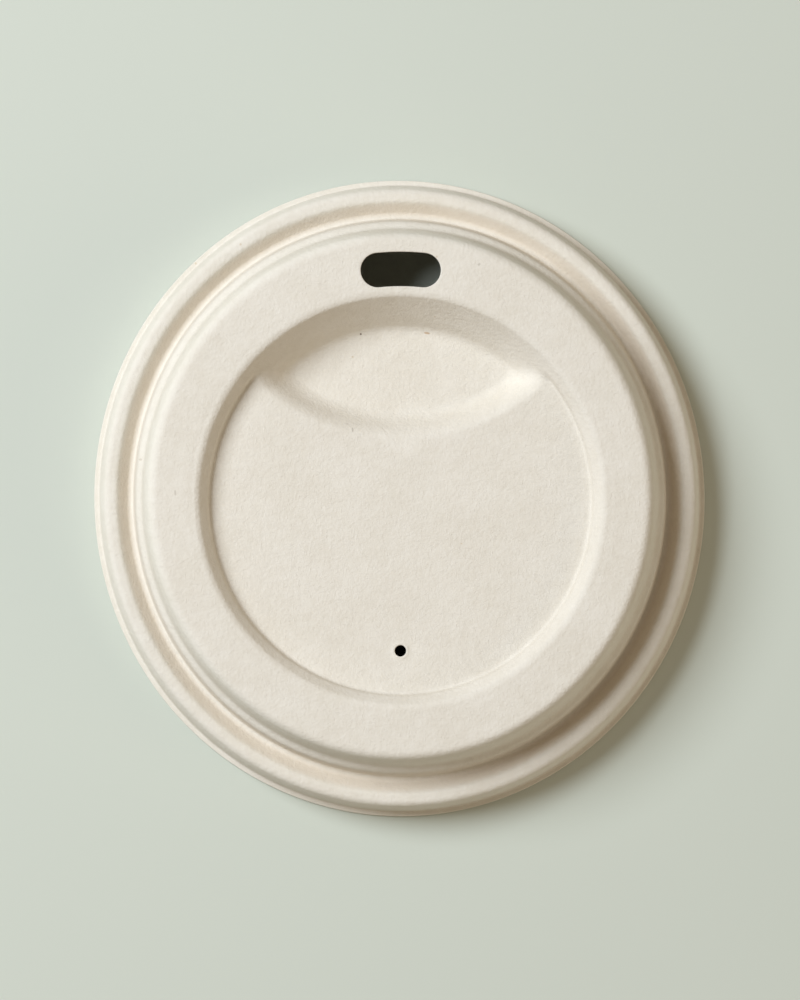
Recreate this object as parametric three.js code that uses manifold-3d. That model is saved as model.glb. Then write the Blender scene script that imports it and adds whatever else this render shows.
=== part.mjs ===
import * as THREE from "three";
import { mergeVertices } from "three/addons/utils/BufferGeometryUtils.js";
import Module from "manifold-3d";

// A takeaway coffee cup lid, pressed in one piece from wet plant-fibre pulp.
// Millimetres, +Z up. The origin is under the middle of the lid, on the plane that it rests on,
// and the sip slot lies towards +Y.

// One wall thickness everywhere, because matched tools press both faces.
const wall = 0.75;

// Rim, from the outside in: a trimmed lip, a skirt with a snap waist, and the bead over the cup's rolled rim.
const lipRadius = 46.5;
const lipWidth = 0.75;
const waistDepth = 0.22;
const waistHeight = 3.4;
const skirtTop = 5.3;
const beadTop = 7.4;
const beadLean = 0.45;
const beadWidth = 1.9;

// The shallow groove that plugs the cup's mouth, inside the bead.
const grooveDepth = 1.2;
const grooveRun = 1.2;
const grooveWidth = 0.6;

// The raised ring: a lower wall, a small stacking shoulder, an upper wall and a flat land.
const ringTop = 16;
const lowerWallRun = 1.15;
const shoulderHeight = 9.8;
const shoulderRun = 0.85;
const shoulderDrop = 0.75;
const upperWallRun = 1.3;
const landWidth = 7.5;

// The recess inside the ring. It sits a little back from the middle, which leaves the land wider at the slot.
const recessDepth = 3.6;
const recessRun = 2.5;
const recessBack = 0.55;

// The lens-shaped hollow for the lip, pressed into the recess floor in front of the slot.
const pocketDepth = 3.4;
const pocketSpan = 101.5;
const pocketBreadth = 18.9;
const pocketBackRun = 3;
const pocketFrontRun = 4.5;
const pocketTipRound = 1.4;
const pocketEase = 0.85;
const pocketShave = 0.08;

// The curved sip slot, punched through the land.
const slotLength = 11.9;
const slotWidth = 5.1;
const slotGap = 0.95;

// The steam vent, punched through the recess floor inside a low raised collar.
const ventDiameter = 1.7;
const ventInset = 5.8;
const collarDiameter = 3.1;
const collarHeight = 0.15;

// Pulp dries a little out of round: the rim and the ring by more than the recess.
const rimOval = 0.95;
const recessOval = 0.2;
const ovalDirection = 93;

// Outer radii of the rounds where two stretches of the wall meet.
const lipRound = 0.2;
const creaseRound = 0.3;
const waistRound = 2;
const beadRound = 1.3;
const crestRound = 0.95;
const grooveRound = 0.7;
const footRound = 0.9;
const shoulderRound = 0.8;
const ringRound = 1.2;
const recessEdgeRound = 0.75;
const recessFootRound = 1.1;

// Facets.
const turnSegments = 64;
const arcStep = 45;
const lensSteps = 24;
const tipSteps = 4;
const pocketLevels = 6;
const holeSegments = 20;
const overcut = 1;

// Radii and heights that follow from the sizes above.
const skirtRadius = lipRadius - lipWidth;
const waistRadius = skirtRadius - waistDepth * 2;
const beadRadius = waistRadius + waistDepth;
const crestOuter = beadRadius - beadLean;
const crestInner = crestOuter - beadWidth;
const grooveOuter = crestInner - grooveRun;
const grooveInner = grooveOuter - grooveWidth;
const shoulderOuter = grooveInner - lowerWallRun;
const shoulderInner = shoulderOuter - shoulderRun;
const ringRadius = shoulderInner - upperWallRun;
const recessRadius = ringRadius - landWidth;
const floorRadius = recessRadius - recessRun;
const grooveHeight = beadTop - grooveDepth;
const floorHeight = ringTop - recessDepth;

const wasm = await Module();
wasm.setup();

// A closed geometry as a solid that can be joined and cut.
function solidOf(geometry) {
  const bare = geometry.clone();
  bare.deleteAttribute("normal");
  bare.deleteAttribute("uv");
  const merged = mergeVertices(bare, 1e-4);
  const index = merged.index.array;
  const faces = [];
  for (let i = 0; i < index.length; i += 3) {
    const [a, b, c] = [index[i], index[i + 1], index[i + 2]];
    if (a !== b && b !== c && c !== a) faces.push(a, b, c);
  }
  const vertProperties = merged.attributes.position.array;
  return new wasm.Manifold(new wasm.Mesh({ numProp: 3, vertProperties, triVerts: new Uint32Array(faces) }));
}

function geometryOf(solid) {
  const { vertProperties, triVerts } = solid.getMesh();
  const geometry = new THREE.BufferGeometry();
  geometry.setAttribute("position", new THREE.BufferAttribute(vertProperties, 3));
  geometry.setIndex(new THREE.BufferAttribute(triVerts, 1));
  geometry.computeVertexNormals();
  return geometry;
}

// A corner of the section: its radius from the lid's axis, its height, and the round that softens it.
function corner(radius, height, round = 0) {
  return { at: new THREE.Vector2(radius, height), round };
}

// The same stretch of wall seen from its other face: every corner moves in by the wall thickness, and a
// round that bulges towards the move gets larger by it, the others smaller.
function insetCorners(corners, distance) {
  const headings = corners.slice(1).map((next, i) => next.at.clone().sub(corners[i].at).normalize());
  const last = headings.length - 1;
  return corners.map(({ at, round }, i) => {
    const before = headings[Math.max(i - 1, 0)];
    const after = headings[Math.min(i, last)];
    const inward = new THREE.Vector2(before.y + after.y, -before.x - after.x).normalize();
    const reach = distance / (inward.x * after.y - inward.y * after.x);
    const turn = Math.sign(before.cross(after));
    const inner = Math.max(round + turn * distance, round * 0.25);
    return { at: at.clone().addScaledVector(inward, reach), round: inner };
  });
}

// The section as a line of points, with an arc at each rounded corner.
function roundedLine(corners) {
  const points = [corners[0].at];
  for (let i = 1; i < corners.length - 1; i++) {
    const { at, round } = corners[i];
    const back = corners[i - 1].at.clone().sub(at);
    const ahead = corners[i + 1].at.clone().sub(at);
    const room = 0.48 * Math.min(back.length(), ahead.length());
    back.normalize();
    ahead.normalize();
    const turn = Math.PI - Math.acos(THREE.MathUtils.clamp(back.dot(ahead), -1, 1));
    const reach = Math.min(round * Math.tan(turn / 2), room);
    if (reach < 1e-3) {
      points.push(at);
      continue;
    }
    const start = at.clone().addScaledVector(back, reach);
    const centreDistance = reach / Math.tan(turn / 2) / Math.cos(turn / 2);
    const centre = back.clone().add(ahead).normalize().multiplyScalar(centreDistance).add(at);
    const side = Math.sign(ahead.cross(back));
    const steps = Math.max(1, Math.ceil(THREE.MathUtils.radToDeg(turn) / arcStep));
    for (let k = 0; k <= steps; k++) {
      points.push(start.clone().rotateAround(centre, (side * turn * k) / steps));
    }
  }
  points.push(corners.at(-1).at);
  return points;
}

// How far out a radius lies between the recess and the ring's outer edge, from 0 to 1.
function outwardness(radius) {
  return THREE.MathUtils.clamp((radius - recessRadius) / landWidth, 0, 1);
}

// Where a point of the round section lies once the pulp has dried: a little oval, with the recess set back.
function settle(geometry) {
  const position = geometry.attributes.position;
  const direction = THREE.MathUtils.degToRad(ovalDirection);
  for (let i = 0; i < position.count; i++) {
    const x = position.getX(i);
    const y = position.getY(i);
    const radius = Math.hypot(x, y);
    const angle = Math.atan2(y, x);
    const out = outwardness(radius);
    const oval = THREE.MathUtils.lerp(recessOval, rimOval, out) * Math.min(1, radius / recessRadius);
    const settled = radius + oval * Math.cos(2 * (angle - direction));
    const setBack = recessBack * (1 - out);
    position.setXY(i, settled * Math.cos(angle), settled * Math.sin(angle) - setBack);
  }
  return geometry;
}

// A section turned about Z, given from the axis at its top round to the axis at its bottom.
function turned(points, segments) {
  return new THREE.LatheGeometry(points.slice().reverse(), segments).rotateX(Math.PI / 2);
}

// The upper face's section, from the middle of the recess floor out to the skirt.
const upperCorners = [
  corner(0, floorHeight),
  corner(floorRadius, floorHeight, recessFootRound),
  corner(recessRadius, ringTop, recessEdgeRound),
  corner(ringRadius, ringTop, ringRound),
  corner(shoulderInner, shoulderHeight, shoulderRound),
  corner(shoulderOuter, shoulderHeight - shoulderDrop, shoulderRound),
  corner(grooveInner, grooveHeight, footRound),
  corner(grooveOuter, grooveHeight, grooveRound),
  corner(crestInner, beadTop, crestRound),
  corner(crestOuter, beadTop, beadRound),
  corner(beadRadius, skirtTop, waistRound),
  corner(waistRadius, waistHeight, waistRound),
  corner(skirtRadius, wall, creaseRound),
];

// Everything under the upper face, down to the resting plane, with the lip around it.
function outerBody() {
  const lip = [corner(lipRadius, wall, lipRound), corner(lipRadius, 0)];
  const line = roundedLine([...upperCorners, ...lip]);
  return solidOf(settle(turned([...line, new THREE.Vector2(0, 0)], turnSegments)));
}

// The room under the lid: the same section one wall further in, open at the bottom.
function innerBody() {
  const corners = insetCorners(upperCorners, wall);
  corners[0].at.x = 0;
  const [waist, foot] = corners.slice(-2).map(({ at }) => at);
  const down = (waist.y + overcut) / (waist.y - foot.y);
  foot.lerpVectors(waist, foot.clone(), down);
  const line = roundedLine(corners);
  return solidOf(settle(turned([...line, new THREE.Vector2(0, foot.y)], turnSegments)));
}

// A lens between a circle about the recess's middle and a circle in front of it, with round tips.
function lensOutline(backRadius, frontRadius, frontCentre, tip) {
  const [back, front] = [backRadius - tip, frontRadius - tip];
  const tipY = (back ** 2 - front ** 2 + frontCentre ** 2) / (2 * frontCentre);
  const tipX = Math.sqrt(back ** 2 - tipY ** 2);
  const backEnd = Math.atan2(tipY, tipX);
  const frontEnd = Math.atan2(tipY - frontCentre, tipX);
  const outline = [];
  const arc = (x, y, radius, from, to, steps) => {
    for (let k = 0; k < steps; k++) {
      const angle = from + ((to - from) * k) / steps;
      outline.push(new THREE.Vector2(x + radius * Math.cos(angle), y + radius * Math.sin(angle)));
    }
  };
  arc(0, 0, backRadius, backEnd, Math.PI - backEnd, lensSteps);
  arc(-tipX, tipY, tip, Math.PI - backEnd, Math.PI - frontEnd, tipSteps);
  arc(0, frontCentre, frontRadius, -Math.PI - frontEnd, frontEnd, lensSteps);
  arc(tipX, tipY, tip, frontEnd, backEnd, tipSteps);
  return outline;
}

// A solid through outlines with equal numbers of points, from the lowest level to the highest.
function loft(levels) {
  const count = levels[0].outline.length;
  const positions = levels.flatMap(({ outline, height }) => outline.flatMap(({ x, y }) => [x, y, height]));
  const faces = [];
  for (let level = 0; level + 1 < levels.length; level++) {
    for (let k = 0; k < count; k++) {
      const [a, b] = [level * count + k, level * count + ((k + 1) % count)];
      faces.push(a, b, b + count, a, b + count, a + count);
    }
  }
  const top = (levels.length - 1) * count;
  const cap = THREE.ShapeUtils.triangulateShape(levels[0].outline, []);
  for (const [a, b, c] of cap) faces.push(a, c, b, top + a, top + b, top + c);
  const geometry = new THREE.BufferGeometry();
  geometry.setAttribute("position", new THREE.Float32BufferAttribute(positions, 3));
  return geometry.setIndex(faces);
}

// The tool that presses the pocket. With a growth of one wall it is the tool of the underside, lower by the
// wall and wider by what keeps the sloping sides just as thick.
function pocketTool(growth) {
  const halfSpan = THREE.MathUtils.degToRad(pocketSpan / 2);
  const chordHeight = floorRadius * Math.cos(halfSpan);
  const halfChord = floorRadius * Math.sin(halfSpan);
  const bulge = chordHeight - (floorRadius - pocketBreadth);
  const frontRadius = (halfChord ** 2 + bulge ** 2) / (2 * bulge);
  const frontCentre = chordHeight - bulge + frontRadius;
  const spread = (run, rise) => growth * Math.tan(Math.atan2(rise, run) / 2);
  const backGrowth = spread(pocketBackRun, pocketDepth) + pocketShave;
  const frontGrowth = spread(pocketFrontRun, pocketDepth);
  const bottom = floorHeight - pocketDepth - growth;
  const level = (back, front, height) => ({
    outline: lensOutline(back + backGrowth, front + frontGrowth, frontCentre, pocketTipRound),
    height,
  });
  const levels = [];
  for (let k = 0; k <= pocketLevels; k++) {
    const across = k / pocketLevels;
    const up = across - (pocketEase * Math.sin(2 * Math.PI * across)) / (2 * Math.PI);
    const backAcross = across < 0.5 ? across : up;
    const back = floorRadius - pocketBackRun * (1 - backAcross);
    const front = frontRadius - pocketFrontRun * (1 - across);
    levels.push(level(back, front, bottom + pocketDepth * up));
  }
  levels.push(level(recessRadius, frontRadius, ringTop - growth));
  levels.push(level(recessRadius, frontRadius, ringTop - growth + overcut));
  return solidOf(settle(loft(levels)));
}

// The sip slot: a bar with full round ends, bent along the land.
function slotPunch() {
  const edge = recessRadius + recessOval - recessBack;
  const middle = edge + slotGap + slotWidth / 2;
  const halfWidth = slotWidth / 2;
  const halfAngle = (slotLength - slotWidth) / 2 / middle;
  const shape = new THREE.Shape();
  const [right, left] = [Math.PI / 2 - halfAngle, Math.PI / 2 + halfAngle];
  shape.absarc(0, 0, middle + halfWidth, right, left, false);
  shape.absarc(middle * Math.cos(left), middle * Math.sin(left), halfWidth, left, left + Math.PI, false);
  shape.absarc(0, 0, middle - halfWidth, left, right, true);
  shape.absarc(middle * Math.cos(right), middle * Math.sin(right), halfWidth, right - Math.PI, right, false);
  const depth = wall + 2 * overcut;
  const punch = new THREE.ExtrudeGeometry(shape, { depth, bevelEnabled: false, curveSegments: 10 });
  return solidOf(punch.translate(0, 0, ringTop - wall - overcut));
}

// The vent's place on the recess floor, opposite the slot.
function atVent(geometry, height) {
  return solidOf(geometry.translate(0, ventInset - floorRadius - recessBack, height));
}

function ventCollar() {
  const [hole, rim] = [ventDiameter / 2, collarDiameter / 2];
  const line = new THREE.SplineCurve([
    new THREE.Vector2(rim, 0),
    new THREE.Vector2((hole + rim) / 2, collarHeight * 0.8),
    new THREE.Vector2(hole, collarHeight),
  ]).getPoints(4);
  const sunk = -wall / 2;
  const section = [
    new THREE.Vector2(0, collarHeight),
    ...line.reverse(),
    new THREE.Vector2(rim, sunk),
    new THREE.Vector2(0, sunk),
  ];
  return atVent(turned(section, holeSegments), floorHeight);
}

function ventPunch() {
  const depth = wall + 2 * overcut;
  const punch = new THREE.CylinderGeometry(ventDiameter / 2, ventDiameter / 2, depth, holeSegments);
  return atVent(punch.rotateX(Math.PI / 2), floorHeight - wall / 2);
}

// The lid is what lies between the two pressing tools, less the two punched holes.
function lidSolid() {
  const pressed = outerBody().subtract(pocketTool(0));
  const room = innerBody().subtract(pocketTool(wall));
  return pressed.subtract(room).add(ventCollar()).subtract(slotPunch()).subtract(ventPunch());
}

const pulp = new THREE.MeshStandardMaterial({ color: 0xe1dbcf, roughness: 0.92, metalness: 0 });
const lid = new THREE.Mesh(geometryOf(lidSolid()), pulp);
lid.name = "lid";

const group = new THREE.Group();
group.add(lid);

export default group;
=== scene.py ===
import math

import bpy
import numpy as np
from mathutils import Matrix, Vector, noise


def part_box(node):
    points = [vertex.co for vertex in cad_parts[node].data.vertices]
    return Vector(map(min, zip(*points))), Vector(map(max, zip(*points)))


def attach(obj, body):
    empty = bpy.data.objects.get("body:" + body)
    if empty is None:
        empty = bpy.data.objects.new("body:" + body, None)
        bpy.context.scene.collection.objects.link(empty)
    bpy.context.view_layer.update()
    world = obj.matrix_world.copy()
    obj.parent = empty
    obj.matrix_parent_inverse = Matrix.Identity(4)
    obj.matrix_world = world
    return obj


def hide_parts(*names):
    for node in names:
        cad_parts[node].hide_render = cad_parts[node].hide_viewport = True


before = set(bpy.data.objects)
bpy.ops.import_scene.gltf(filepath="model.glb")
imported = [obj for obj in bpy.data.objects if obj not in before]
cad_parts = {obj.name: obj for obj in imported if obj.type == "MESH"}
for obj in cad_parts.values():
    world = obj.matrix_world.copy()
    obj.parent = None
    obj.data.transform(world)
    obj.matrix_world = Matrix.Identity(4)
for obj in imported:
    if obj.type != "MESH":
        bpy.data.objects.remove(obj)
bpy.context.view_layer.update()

# Sizes are written in millimetres, and Blender works in metres.
mm = 0.001

lidLow, lidHigh = (np.array(corner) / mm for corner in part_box("lid"))
print("frame loaded")

# The lid's section, from the lip inwards. It follows the solid, with the softer rounds that the photo shows.
lid = {
    "wall": 0.75,
    "lipRadius": (lidHigh - lidLow)[:2].sum() / 4,
    "lipWidth": 0.75,
    "waistDepth": 0.22,
    "waistHeight": 3.4,
    "skirtTop": 5.3,
    "beadTop": 7.7,
    "beadLean": 0.75,
    "beadWidth": 1.6,
    "grooveDepth": 1.8,
    "grooveRun": 1.75,
    "grooveWidth": 0.75,
    "lowerWallRun": 0.45,
    "shoulderHeight": 9.8,
    "shoulderRun": 0.85,
    "shoulderDrop": 0.75,
    "upperWallRun": 1.18,
    "ringTop": lidHigh[2] - 0.03,
    "landWidth": 7.92,
    "recessRun": 2.2,
    "recessDepth": 3.6,
    "recessFootRun": 0.45,
    "recessKneeRun": 0.8,
    "recessKneeDepth": 2.15,
    "ringKneeRun": 0.7,
    "ringKneeDepth": 2.6,
    "recessBack": 0.55,
    "ringNarrow": 0.2,
    "ringSpread": 1.5,
    "rimOval": 0.95,
    "recessOval": 0.2,
    "ovalDirection": math.radians(93),
    "cutEdge": 0.13,
}

# Each round: its radius and the number of steps that it is drawn in.
rounds = {
    "recessFoot": (0.55, 4),
    "recessKnee": (2.0, 3),
    "recessEdge": (1.4, 6),
    "ring": (1.7, 7),
    "ringKnee": (2.5, 3),
    "shoulder": (1.4, 4),
    "foot": (0.55, 4),
    "groove": (0.6, 4),
    "crest": (0.95, 4),
    "bead": (1.9, 7),
    "waist": (2.0, 3),
    "crease": (0.3, 4),
}

skirtRadius = lid["lipRadius"] - lid["lipWidth"]
waistRadius = skirtRadius - 2 * lid["waistDepth"]
beadRadius = waistRadius + lid["waistDepth"]
crestOuter = beadRadius - lid["beadLean"]
crestInner = crestOuter - lid["beadWidth"]
grooveOuter = crestInner - lid["grooveRun"]
grooveInner = grooveOuter - lid["grooveWidth"]
shoulderOuter = grooveInner - lid["lowerWallRun"]
shoulderInner = shoulderOuter - lid["shoulderRun"]
ringRadius = shoulderInner - lid["upperWallRun"]
recessRadius = ringRadius - lid["landWidth"]
floorRadius = recessRadius - lid["recessRun"]
floorHeight = lid["ringTop"] - lid["recessDepth"]
recessKneeHeight = lid["ringTop"] - lid["recessKneeDepth"]
ringKneeHeight = lid["ringTop"] - lid["ringKneeDepth"]
grooveHeight = lid["beadTop"] - lid["grooveDepth"]

# Radius, height, round, and how many rows the straight stretch after it has.
sectionCorners = [
    (floorRadius + lid["recessFootRun"], floorHeight, rounds["recessFoot"], 2),
    (floorRadius + lid["recessKneeRun"], recessKneeHeight, rounds["recessKnee"], 2),
    (recessRadius, lid["ringTop"], rounds["recessEdge"], 20),
    (ringRadius, lid["ringTop"], rounds["ring"], 2),
    (ringRadius + lid["ringKneeRun"], ringKneeHeight, rounds["ringKnee"], 4),
    (shoulderInner, lid["shoulderHeight"], rounds["shoulder"], 2),
    (shoulderOuter, lid["shoulderHeight"] - lid["shoulderDrop"], rounds["shoulder"], 4),
    (grooveInner, grooveHeight, rounds["foot"], 2),
    (grooveOuter, grooveHeight, rounds["groove"], 2),
    (crestInner, lid["beadTop"], rounds["crest"], 3),
    (crestOuter, lid["beadTop"], rounds["bead"], 2),
    (beadRadius, lid["skirtTop"], rounds["waist"], 2),
    (waistRadius, lid["waistHeight"], rounds["waist"], 3),
    (skirtRadius, lid["wall"], rounds["crease"], 3),
]

# Rows across the recess floor: first radius, last radius and spacing, closest together at the vent.
floorRows = [(3, 9, 3), (9.5, 20.3, 0.55), (20.4, 24.05, 0.24), (24.4, 28.1, 0.55)]

# A round takes no more than this share of the shorter stretch beside it.
roundShare = 0.48


def arcPoints(before, at, after, radius, steps):
    back = before - at
    ahead = after - at
    turn = math.pi - back.angle(ahead)
    reach = min(radius * math.tan(turn / 2), roundShare * min(back.length, ahead.length))
    back.normalize()
    ahead.normalize()
    centre = at + (back + ahead).normalized() * (reach / math.sin(turn / 2))
    spokes = (back * reach + at - centre, ahead * reach + at - centre)
    whole = spokes[0].angle_signed(spokes[1])
    return [centre + Matrix.Rotation(-whole * k / steps, 2) @ spokes[0] for k in range(steps + 1)]


def sectionLine():
    line = [Vector((radius, floorHeight)) for steps in floorRows for radius in np.arange(*steps)]
    points = [Vector((0, floorHeight))]
    points += [Vector(corner[:2]) for corner in sectionCorners]
    points += [Vector((lid["lipRadius"] - lid["cutEdge"], lid["wall"]))]
    straight = 1
    for k, (radius, height, (rounding, steps), rows) in enumerate(sectionCorners, 1):
        arc = arcPoints(*points[k - 1:k + 2], rounding, steps)
        start = line[-1]
        line += [start.lerp(arc[0], step / straight) for step in range(1, straight)]
        line += arc
        straight = rows
    start = line[-1]
    line += [start.lerp(points[-1], step / straight) for step in range(1, straight + 1)]
    return np.array(line)


# Columns lie closer together where the slot, the pocket and the vent are.
def columnAngles():
    slotWay, ventWay = 90, -90
    spans = [(slotWay - 12.5, slotWay + 12.5, 0.5), (ventWay - 4.5, ventWay + 4.5, 0.55)]
    for near, far, step in ((12.5, 56, 1), (57.2, 174.5, 1.8)):
        spans += [(slotWay - far, slotWay - near, step), (slotWay + near, slotWay + far, step)]
    angles = set()
    for low, high, step in spans:
        angles |= {round(angle, 6) for angle in np.linspace(low, high, round((high - low) / step) + 1)}
    return np.radians(sorted(angles))


section = sectionLine()
angles = columnAngles()
rows, columns = len(section), len(angles)
radius = np.repeat(section[:, :1], columns, 1)
height = np.repeat(section[:, 1:], columns, 1)
angle = np.repeat(angles[None], rows, 0)
x = radius * np.cos(angle)
y = radius * np.sin(angle)
print("section", rows, "rows", columns, "columns")


# The lens-shaped pocket: the space that the recess's own circle shares with one in front of it.
pocket = {
    "depth": 4.3,
    "dish": 0.2,
    "halfSpan": math.radians(101.5 / 2),
    "breadth": 18.9,
    "backRun": 2.8,
    "frontRun": 4.1,
    "ease": 0.5,
    "tipBlend": 0.7,
    "footFade": 0.25,
    "edgeReach": 1.0,
}


def smoothLeast(a, b, blend):
    share = np.clip(0.5 + 0.5 * (b - a) / blend, 0, 1)
    return b + (a - b) * share - blend * share * (1 - share)


# How deep each point of the sheet is pressed. Where the pocket meets the recess wall, the wall's rounds
# give way to a plain slope, which carries on as the pocket's back wall.
def pressPocket(x, y, radius, height):
    chordHeight = floorRadius * math.cos(pocket["halfSpan"])
    halfChord = floorRadius * math.sin(pocket["halfSpan"])
    bulge = chordHeight - (floorRadius - pocket["breadth"])
    frontRadius = (halfChord ** 2 + bulge ** 2) / (2 * bulge)
    frontCentre = chordHeight - bulge + frontRadius
    back = (floorRadius - radius) / pocket["backRun"]
    front = (frontRadius - np.hypot(x, y - frontCentre)) / pocket["frontRun"]
    share = np.clip(smoothLeast(back, front, pocket["tipBlend"]), 0, 1)
    eased = share - pocket["ease"] * np.sin(2 * math.pi * share) / (2 * math.pi)
    straight = np.where(share < 0.5, share, eased)
    frontShare = np.clip(0.5 + 2 * (back - front), 0, 1)
    deep = pocket["depth"] - pocket["dish"] * (x / halfChord) ** 2
    pressed = deep * (straight + (eased - straight) * frontShare)
    bare = floorHeight + np.clip((radius - floorRadius) / lid["recessRun"], 0, 1) * lid["recessDepth"]
    sloped = np.where(radius < recessRadius - pocket["edgeReach"], bare, np.minimum(height, bare))
    sloped = np.where(radius < recessRadius, sloped, height)
    fade = np.clip(front / pocket["footFade"], 0, 1)
    return height + (sloped - height) * fade - pressed


# The pulp dries a little out of round, and the recess sits a little back from the middle.
def settle(radius, angle):
    out = np.clip((radius - recessRadius) / lid["landWidth"], 0, 1)
    oval = lid["recessOval"] + (lid["rimOval"] - lid["recessOval"]) * out
    oval *= np.minimum(1, radius / recessRadius)
    narrow = lid["ringNarrow"] * np.exp(-(((radius - ringRadius) / lid["ringSpread"] - 0.5) ** 2))
    settled = radius - narrow + (oval - narrow) * np.cos(2 * (angle - lid["ovalDirection"]))
    return settled * np.cos(angle), settled * np.sin(angle) - lid["recessBack"] * (1 - out)


height = pressPocket(x, y, radius, height)
x, y = settle(radius, angle)
print("pocket pressed")


# The two punched holes as signed distances, which are below zero inside them.
slot = {"length": 11.9, "width": 5.1, "gap": 1.25}
slot["middle"] = recessRadius + lid["recessOval"] - lid["recessBack"] + slot["gap"] + slot["width"] / 2
slot["halfAngle"] = (slot["length"] - slot["width"]) / 2 / slot["middle"]
vent = {"diameter": 1.7, "inset": 5.8}
vent["y"] = vent["inset"] - floorRadius - lid["recessBack"]

# Grid points nearer to a hole's outline than the first are moved onto it, and faces nearer than the
# second are cut into triangles.
snapReach = 0.5
cutReach = 1


def slotDistance(x, y):
    turn = np.clip(np.arctan2(x, y), -slot["halfAngle"], slot["halfAngle"])
    return np.hypot(x - slot["middle"] * np.sin(turn), y - slot["middle"] * np.cos(turn)) - slot["width"] / 2


def ventDistance(x, y):
    return np.hypot(x, y - vent["y"]) - vent["diameter"] / 2


def holeDistance(x, y):
    return np.minimum(slotDistance(x, y), ventDistance(x, y))


def outwards(x, y):
    step = 1e-4
    slopeX = holeDistance(x + step, y) - holeDistance(x - step, y)
    slopeY = holeDistance(x, y + step) - holeDistance(x, y - step)
    slopes = np.array([slopeX, slopeY]) / (2 * step)
    return slopes / np.maximum(np.linalg.norm(slopes, axis=0), 1e-9)


# Grid points near a hole move onto its outline, which lies one edge radius outside the hole.
def snapToHoles(x, y):
    distance = holeDistance(x, y) - lid["cutEdge"]
    near = np.zeros(distance.shape, bool)
    for axis, shift in ((0, 1), (0, -1), (1, 1), (1, -1)):
        other = np.roll(distance, shift, axis)
        nearer = (np.abs(distance) <= np.abs(other)) & (np.abs(distance) < snapReach)
        near |= (distance * other <= 0) & nearer
    way = outwards(x, y)
    return x - np.where(near, distance * way[0], 0), y - np.where(near, distance * way[1], 0), near


x, y, onEdge = snapToHoles(x, y)


# Faces of one sheet, without the holes.
def sheetFaces():
    pole = rows * columns
    outside = holeDistance(x, y) - lid["cutEdge"]
    flat = np.stack([x.ravel(), y.ravel()])
    faces = [(pole, k, (k + 1) % columns) for k in range(columns)]
    for row in range(rows - 1):
        busy = (outside[row] < cutReach) | (outside[row + 1] < cutReach)
        for k in range(columns):
            after = (k + 1) % columns
            a, b = row * columns + k, (row + 1) * columns + k
            c, d = (row + 1) * columns + after, row * columns + after
            if not busy[k] and not busy[after]:
                faces.append((a, b, c, d))
                continue
            corners = [onEdge.flat[i] for i in (a, b, c, d)]
            triangles = ((a, b, d), (b, c, d)) if corners[1] and corners[3] else ((a, b, c), (a, c, d))
            for triangle in triangles:
                middle = flat[:, triangle].mean(1)
                if holeDistance(*middle) > lid["cutEdge"]:
                    faces.append(triangle)
    return faces


def gridNormals(points):
    grid = points[:-1].reshape(rows, columns, 3)
    along = np.gradient(grid, axis=0)
    across = np.roll(grid, -1, 1) - np.roll(grid, 1, 1)
    normals = np.cross(along, across).reshape(-1, 3)
    normals = np.vstack([normals, (0, 0, 1)])
    return normals / np.linalg.norm(normals, axis=1)[:, None]


# What the pulp shows beyond its section: a raised collar in a shallow dimple at the vent, a faint step
# round the land, a slow waviness, the marks that the punch left beside the slot, and two scuffs. A pair
# of values says where a form starts and where it is whole.
small = {
    "collarEdge": (0.15, 0.7),
    "collarHeight": 0.13,
    "dimpleEdge": (0.6, 4.0),
    "dimpleDepth": 0.1,
    "stepRadius": 31.75,
    "stepEdge": (0.12, -0.12),
    "stepHeight": 0.03,
    "waveHeight": 0.035,
    "waveLength": 11.0,
    "waveStart": (0.5, 3),
    "crumpleDepth": 0.1,
    "crumpleInner": (0.15, 0.4),
    "crumpleOuter": (1.0, 0.6),
    "crumpleLeft": (-3.5, -2),
    "crumpleRight": (5, 3),
    "crumpleHighest": 32.5,
    "foldStretch": (0.9, 2.2),
    "foldSeed": 4.0,
    "scuffDepth": 0.03,
    "scuffRadii": (31.35, 32.05),
    "scuffWidth": 0.14,
    "scuffFrom": (150, 158),
    "scuffTo": (186, 176),
}


def smoothStep(edge, value):
    low, high = edge
    share = np.clip((value - low) / (high - low), 0, 1)
    return share * share * (3 - 2 * share)


def smallForms(points, radius):
    px, py = points[:, 0], points[:, 1]
    fromVent = ventDistance(px, py)
    collar = small["collarHeight"] * (1 - smoothStep(small["collarEdge"], fromVent))
    dimple = -small["dimpleDepth"] * (1 - smoothStep(small["dimpleEdge"], fromVent))
    onLand = (radius > recessRadius) & (radius < ringRadius)
    step = -small["stepHeight"] * smoothStep(small["stepEdge"], radius - small["stepRadius"]) * onLand
    wave = np.array([noise.noise(Vector(point) / small["waveLength"]) for point in points])
    wave = small["waveHeight"] * (np.clip(wave, -1, 1) - 1) / 2 * smoothStep(small["waveStart"], points[:, 2])
    fromSlot = slotDistance(px, py)
    beside = smoothStep(small["crumpleInner"], fromSlot) * smoothStep(small["crumpleOuter"], fromSlot)
    beside *= py < small["crumpleHighest"]
    beside *= smoothStep(small["crumpleLeft"], px) * smoothStep(small["crumpleRight"], px)
    foldX, foldY = small["foldStretch"]
    folds = np.array([noise.noise(Vector((p[0] * foldX, p[1] * foldY, small["foldSeed"]))) for p in points])
    crumple = -small["crumpleDepth"] * beside * (0.6 + 0.4 * np.clip(folds * 3, -1, 1))
    turn = np.degrees(np.arctan2(py, px))
    scuffed = smoothStep(small["scuffFrom"], turn) * smoothStep(small["scuffTo"], turn) * onLand
    scuffs = sum(np.exp(-((radius - line) / small["scuffWidth"]) ** 2) for line in small["scuffRadii"])
    return collar + dimple + step + wave + crumple - small["scuffDepth"] * scuffs * scuffed


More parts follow.
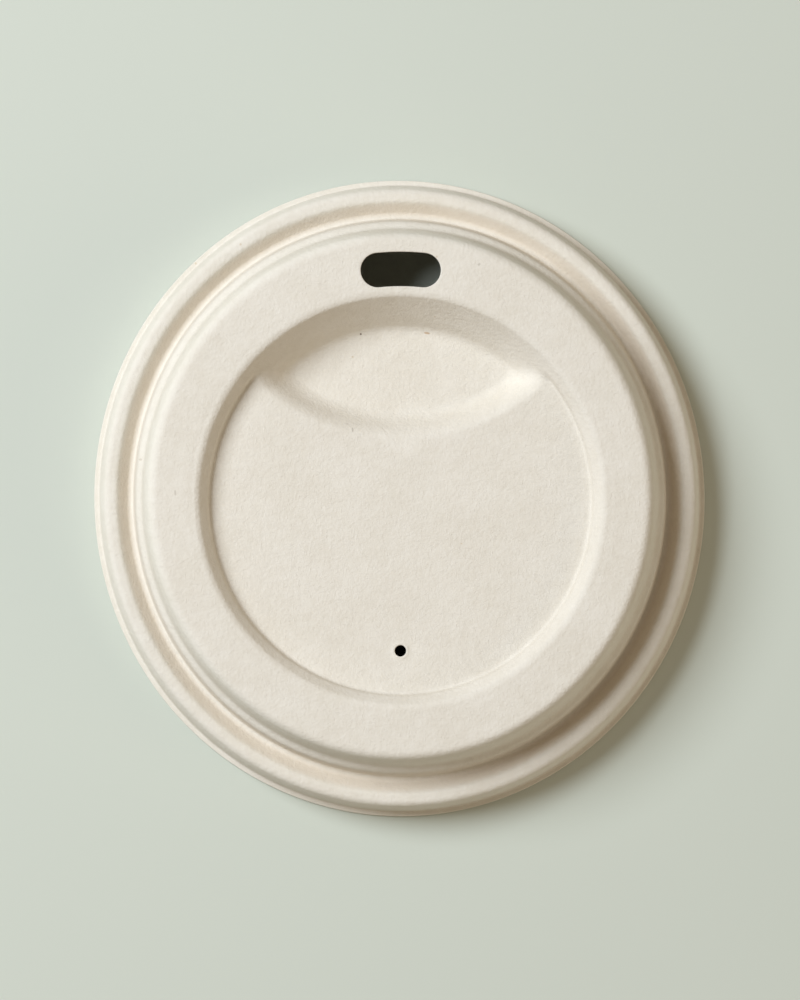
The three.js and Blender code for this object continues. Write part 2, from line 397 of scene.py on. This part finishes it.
middle = np.array([[0, -lid["recessBack"], floorHeight]])
points = np.vstack([np.stack([x, y, height], 2).reshape(-1, 3), middle])
pointRadius = np.append(radius.ravel(), 0)
normals = gridNormals(points)
upper = points.copy()
upper[:, 2] += smallForms(points, pointRadius)
lower = points - normals * lid["wall"]
faces = sheetFaces()
print("sheet", len(faces), "faces")


# The cut edges: a chain of points from the upper sheet to the lower one, rounded at both.
def cutEdges(faces, upper, lower):
    edges = {}
    for face in faces:
        for a, b in zip(face, face[1:] + face[:1]):
            edges[a, b] = edges.get((b, a), 0) + 1
    rim = [(a, b) for a, b in edges if (b, a) not in edges]
    around = sorted({a for edge in rim for a in edge})
    steps = [math.radians(turn) for turn in (30, 60, 90)]
    extra = []
    chain = {}
    for point in around:
        px, py = upper[point, :2]
        onLip = point >= (rows - 1) * columns and point < rows * columns
        way = np.array([px, py]) / math.hypot(px, py) if onLip else -outwards(px, py)
        side = np.array([*way, 0]) * lid["cutEdge"]
        up = np.array([0, 0, lid["cutEdge"]])
        bends = [upper[point] + side * math.sin(a) - up * (1 - math.cos(a)) for a in steps]
        bends += [lower[point] + side * math.sin(a) + up * (1 - math.cos(a)) for a in reversed(steps)]
        first = 2 * len(upper) + len(extra)
        chain[point] = [point, *range(first, first + len(bends)), point + len(upper)]
        extra += bends
    walls = []
    for a, b in rim:
        one, two = chain[a], chain[b]
        walls += [(two[k], one[k], one[k + 1], two[k + 1]) for k in range(len(one) - 1)]
    return np.array(extra), walls


extra, walls = cutEdges(faces, upper, lower)
under = [tuple(i + len(upper) for i in reversed(face)) for face in faces]
vertices = np.vstack([upper, lower, extra]) * mm


# Leaves out the points that no face uses, which are those inside the holes.
def compacted(vertices, faces):
    used = sorted({i for face in faces for i in face})
    place = {old: new for new, old in enumerate(used)}
    return vertices[used], [tuple(place[i] for i in face) for face in faces]


vertices, allFaces = compacted(vertices, [*faces, *under, *walls])
mesh = bpy.data.meshes.new("lid")
mesh.from_pydata(vertices.tolist(), [], allFaces)
mesh.validate()
mesh.polygons.foreach_set("use_smooth", [True] * len(mesh.polygons))
mesh.update()
lidPiece = bpy.data.objects.new("lid_pulp", mesh)
bpy.context.collection.objects.link(lidPiece)
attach(lidPiece, "root")
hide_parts("lid")
print("lid", len(mesh.vertices), "vertices", len(mesh.polygons), "faces")


class Signal:
    # A socket that arithmetic can be written with.
    def __init__(self, tree, socket):
        self.tree = tree
        self.socket = socket

    def node(self, kind, settings, inputs, output=0):
        made = self.tree.nodes.new(kind)
        for name, value in settings.items():
            setattr(made, name, value)
        for name, value in inputs.items():
            if isinstance(value, Signal):
                self.tree.links.new(value.socket, made.inputs[name])
            else:
                made.inputs[name].default_value = value
        return Signal(self.tree, made.outputs[output])

    def math(self, operation, first, second=0.0):
        return self.node("ShaderNodeMath", {"operation": operation}, {0: first, 1: second})

    def vector(self, operation, second=(0, 0, 0), output=0):
        return self.node("ShaderNodeVectorMath", {"operation": operation}, {0: self, 1: second}, output)

    def __add__(self, other):
        return self.math("ADD", self, other)

    def __radd__(self, other):
        return self.math("ADD", other, self)

    def __sub__(self, other):
        return self.math("SUBTRACT", self, other)

    def __rsub__(self, other):
        return self.math("SUBTRACT", other, self)

    def __mul__(self, other):
        return self.math("MULTIPLY", self, other)

    def __rmul__(self, other):
        return self.math("MULTIPLY", other, self)

    def __truediv__(self, other):
        return self.math("DIVIDE", self, other)

    def most(self, other):
        return self.math("MAXIMUM", self, other)

    def between(self, low, high):
        settings = {"interpolation_type": "SMOOTHSTEP"}
        return self.node("ShaderNodeMapRange", settings, {"Value": self, "From Min": low, "From Max": high})

    def noise(self, size, detail=2.0, seed=0.0):
        moved = self.vector("ADD", (seed, seed * 0.7, seed * 0.3))
        inputs = {"Vector": moved, "Scale": 1 / size, "Detail": detail, "Roughness": 0.55}
        return self.node("ShaderNodeTexNoise", {}, inputs)

    def turned(self, degrees):
        settings = {"rotation_type": "Z_AXIS"}
        return self.node("ShaderNodeVectorRotate", settings, {"Vector": self, "Angle": math.radians(degrees)})

    def mixed(self, share, first, second):
        inputs = {0: share, 6: first, 7: second}
        return self.node("ShaderNodeMix", {"data_type": "RGBA"}, inputs, output=2)


def newMaterial(name):
    material = bpy.data.materials.new(name)
    material.use_nodes = True
    tree = material.node_tree
    shader = next(node for node in tree.nodes if node.type == "BSDF_PRINCIPLED")
    place = Signal(tree, None).node("ShaderNodeTexCoord", {}, {}, output="Object")
    return material, shader, place


def feed(shader, name, value):
    if isinstance(value, Signal):
        value.tree.links.new(value.socket, shader.inputs[name])
    else:
        shader.inputs[name].default_value = value


# Each set of strands: which way they lie, in degrees, and the seed of its noise.
pulp = {
    "paleColour": (0.775, 0.73, 0.645, 1),
    "deepColour": (0.728, 0.678, 0.586, 1),
    "cloudSize": 8 * mm,
    "mottleSize": 1.4 * mm,
    "tanSpeck": (0.6, 0.49, 0.34, 1),
    "speckSpacing": 2.6 * mm,
    "speckEdge": (0.085, 0.045),
    "speckPatch": 2.1 * mm,
    "speckChance": (0.66, 0.7),
    "speckShare": 0.6,
    "roughness": 0.9,
    "specular": 0.2,
    "grain": 0.115 * mm,
    "strandSets": [(12, 0.3), (55, 0.4), (98, 0.6), (146, 0.8)],
    "strandWidth": 0.22 * mm,
    "strandStretch": 0.14,
    "strandEdge": (0.6, 0.72),
    "strandRelief": 0.12,
    "fineSize": 0.5 * mm,
    "fineRelief": 0.8,
    "coarseSize": 1.6 * mm,
    "coarseRelief": 0.5,
    # Painted shade: a warm tan darkening of the colour all round the groove, standing in for the shade and
    # bounce light there.
    "grooveShadeColour": (0.7, 0.56, 0.41, 1),
    "grooveShadeRadius": 41.9,
    "grooveShadeReach": 1.25,
    "grooveShadeEdge": (0.35, 1),
    "grooveShadeShare": 0.26,
}

# Specks, and painted dent shade, that the photo shows: where, how long, how wide, which way, how strong.
marks = [
    {"at": (-5.85, 24.3), "size": (0.16, 0.16), "turn": 0, "colour": (0.13, 0.09, 0.06, 1), "strength": 0.9},
    {"at": (4.0, 24.45), "size": (0.5, 0.17), "turn": -8, "colour": (0.5, 0.33, 0.19, 1), "strength": 0.75},
    # The grey marks from here on are painted shade of small dents; the two above are specks.
    {"at": (-7.1, 9.95), "size": (0.14, 0.42), "turn": 10, "colour": (0.36, 0.33, 0.28, 1), "strength": 0.5},
    {"at": (11.6, 34.4), "size": (0.28, 0.2), "turn": 30, "colour": (0.4, 0.36, 0.3, 1), "strength": 0.45},
    {"at": (-33.4, 0.55), "size": (0.16, 0.5), "turn": 5, "colour": (0.42, 0.37, 0.3, 1), "strength": 0.45},
    {"at": (-38.6, 5.6), "size": (0.3, 0.2), "turn": 0, "colour": (0.45, 0.38, 0.28, 1), "strength": 0.4},
]
markEdge = (0.55, 1.15)


def fibres(place, turn, seed):
    long = place.turned(turn).vector("MULTIPLY", (pulp["strandStretch"], 1, 1))
    return long.noise(pulp["strandWidth"], 1.5, seed).between(*pulp["strandEdge"])


def speckAndDentShadeShare(place, mark):
    moved = place.vector("SUBTRACT", (mark["at"][0] * mm, mark["at"][1] * mm, 0))
    scale = (1 / (mark["size"][0] * mm), 1 / (mark["size"][1] * mm), 0)
    scaled = moved.turned(-mark["turn"]).vector("MULTIPLY", scale)
    far = scaled.vector("LENGTH", output="Value")
    return (1.0 - far.between(*markEdge)) * mark["strength"]


# Where a point lies across the groove, from 1 in its middle to 0 at its sides, scaled to how much painted
# warm shade the groove's colour takes.
def grooveShadeShare(place):
    parts = {}
    for axis in "XY":
        part = place.node("ShaderNodeSeparateXYZ", {}, {"Vector": place}, output=axis)
        parts[axis] = part * part
    square = parts["X"] + parts["Y"]
    lengthened = (parts["Y"] - parts["X"]) / square * (lid["rimOval"] * mm)
    radius = square.math("SQRT", square) - lengthened
    away = radius.math("ABSOLUTE", radius - pulp["grooveShadeRadius"] * mm) / (pulp["grooveShadeReach"] * mm)
    return (1.0 - away.between(*pulp["grooveShadeEdge"])) * pulp["grooveShadeShare"]


def pulpColour(place):
    cloud = place.noise(pulp["cloudSize"], 2, 0.1).between(0.3, 0.7)
    mottle = place.noise(pulp["mottleSize"], 3, 0.2).between(0.3, 0.7)
    tone = cloud * 0.5 + mottle * 0.5
    colour = tone.mixed(tone, pulp["deepColour"], pulp["paleColour"])
    inputs = {"Vector": place, "Scale": 1 / pulp["speckSpacing"]}
    bits = place.node("ShaderNodeTexVoronoi", {"feature": "F1"}, inputs, output="Distance")
    chance = place.noise(pulp["speckPatch"], 0, 0.5).between(*pulp["speckChance"])
    speck = bits.between(*pulp["speckEdge"]) * chance
    colour = colour.mixed(speck * pulp["speckShare"], colour, pulp["tanSpeck"])
    # Painted warm shade in the groove.
    colour = colour.mixed(grooveShadeShare(place), colour, pulp["grooveShadeColour"])
    for mark in marks:
        # Specks, and painted shade of small dents.
        colour = colour.mixed(speckAndDentShadeShare(place, mark), colour, mark["colour"])
    return colour


def pulpRelief(place):
    first, *others = [fibres(place, turn, seed) for turn, seed in pulp["strandSets"]]
    strands = first
    for other in others:
        strands = strands.most(other)
    fine = place.noise(pulp["fineSize"], 2, 0.9)
    coarse = place.noise(pulp["coarseSize"], 1, 1.1)
    relief = strands * pulp["strandRelief"] + fine * pulp["fineRelief"] + coarse * pulp["coarseRelief"]
    return relief.node("ShaderNodeBump", {}, {"Strength": 1.0, "Distance": pulp["grain"], "Height": relief})


def pulpMaterial():
    material, shader, place = newMaterial("pulp")
    feed(shader, "Base Color", pulpColour(place))
    feed(shader, "Roughness", pulp["roughness"])
    feed(shader, "Specular IOR Level", pulp["specular"])
    feed(shader, "Normal", pulpRelief(place))
    return material


mesh.materials.append(pulpMaterial())
print("pulp made")


# A plain pale floor, one large soft light from the upper left, a faint one from the right, and an even
# surround.
room = {
    "floorColour": (0.6, 0.635, 0.56, 1),
    "floorRoughness": 0.9,
    "floorSpecular": 0.1,
    "floorHalf": 900,
    "floorDrop": 0.02,
    "lightDistance": 1000,
    "lightSize": 560,
    "lightAim": (0, 0, 10),
    "surround": 0.24,
    "surroundColour": (1, 0.83, 0.64, 1),
}
keyLight = {"direction": 154, "height": 49.5, "power": 11.1, "colour": (0.885, 0.945, 1.02)}
fillLight = {"direction": -20, "height": 24, "power": 1.8, "colour": (1, 0.88, 0.7)}


def floorPiece():
    half = room["floorHalf"] * mm
    low = -room["floorDrop"] * mm
    corners = [(-half, -half, low), (half, -half, low), (half, half, low), (-half, half, low)]
    plane = bpy.data.meshes.new("floor")
    plane.from_pydata(corners, [], [(0, 1, 2, 3)])
    material, shader, _ = newMaterial("floor")
    feed(shader, "Base Color", room["floorColour"])
    feed(shader, "Roughness", room["floorRoughness"])
    feed(shader, "Specular IOR Level", room["floorSpecular"])
    plane.materials.append(material)
    piece = bpy.data.objects.new("floor", plane)
    bpy.context.collection.objects.link(piece)
    return piece


floor = floorPiece()


def aimed(piece, place, target, up):
    back = (Vector(place) - Vector(target)).normalized()
    side = Vector(up).cross(back).normalized()
    turn = Matrix((side, back.cross(side), back)).transposed().to_4x4()
    piece.matrix_world = Matrix.Translation(Vector(place)) @ turn


def softLight(name, values):
    light = bpy.data.lights.new(name, "AREA")
    light.shape = "DISK"
    light.size = room["lightSize"] * mm
    light.energy = values["power"]
    light.color = values["colour"]
    piece = bpy.data.objects.new(name, light)
    bpy.context.collection.objects.link(piece)
    direction, height = math.radians(values["direction"]), math.radians(values["height"])
    flat = math.cos(height)
    way = Vector((flat * math.cos(direction), flat * math.sin(direction), math.sin(height)))
    aimed(piece, way * room["lightDistance"] * mm, Vector(room["lightAim"]) * mm, (0, 0, 1))


softLight("key", keyLight)
softLight("fill", fillLight)

world = bpy.data.worlds.new("surround")
world.use_nodes = True
background = next(node for node in world.node_tree.nodes if node.type == "BACKGROUND")
background.inputs["Color"].default_value = room["surroundColour"]
background.inputs["Strength"].default_value = room["surround"]
bpy.context.scene.world = world
print("room lit")


# The camera looks almost straight down, with +Y at the top of the picture.
view = {
    "distance": 2000,
    "pixelsPerMm": 6.7,
    "pictureHeight": 1000,
    "sensor": 36,
    "aim": (0.075, -0.246, 0.7),
    "lean": (-0.0125, -0.0175, 1),
    "nearest": 100,
    "farthest": 10000,
}
cameraData = bpy.data.cameras.new("camera")
cameraData.type = "PERSP"
cameraData.sensor_width = view["sensor"]
cameraData.lens = view["sensor"] * view["distance"] * view["pixelsPerMm"] / view["pictureHeight"]
cameraData.clip_start = view["nearest"] * mm
cameraData.clip_end = view["farthest"] * mm
camera = bpy.data.objects.new("camera", cameraData)
bpy.context.collection.objects.link(camera)
aim = Vector(view["aim"]) * mm
aimed(camera, aim + Vector(view["lean"]).normalized() * view["distance"] * mm, aim, (0, 1, 0))
scene = bpy.context.scene
scene.camera = camera
scene.view_settings.view_transform = "Standard"
